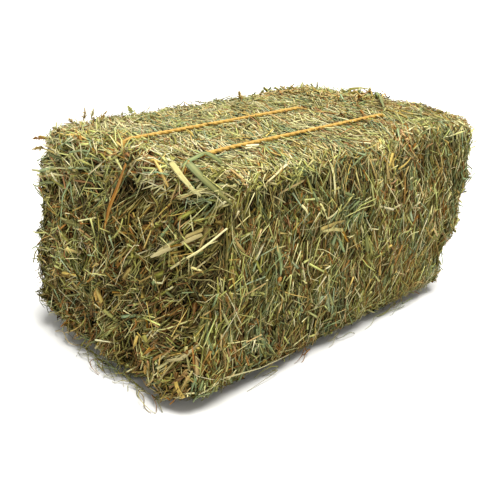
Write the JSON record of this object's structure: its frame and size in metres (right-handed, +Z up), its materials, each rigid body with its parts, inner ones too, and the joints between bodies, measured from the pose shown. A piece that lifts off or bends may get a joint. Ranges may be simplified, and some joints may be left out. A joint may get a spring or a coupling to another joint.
{
  "type": "square hay bale",
  "caption": "Rectangular bale of pressed cut hay, made of leaning flakes and tied lengthwise with twine loops; lies on its flat underside.",
  "frame": {"origin": "bottom centre of the bale's bounding box, on the surface it lies on", "axes": "+X along the bale from its leaning front end to its back end, +Y across it, +Z up"},
  "size_m": [0.7042, 0.4648, 0.3499],
  "materials": {
    "hay": "matte",
    "twine": "matte"
  },
  "bodies": {
    "root": {"flake_01": "hay", "flake_02": "hay", "flake_03": "hay", "flake_04": "hay", "flake_05": "hay", "flake_06": "hay", "flake_07": "hay", "flake_08": "hay", "flake_09": "hay", "flake_10": "hay", "twine_near": "twine", "twine_far": "twine"}
  },
  "joints": []
}
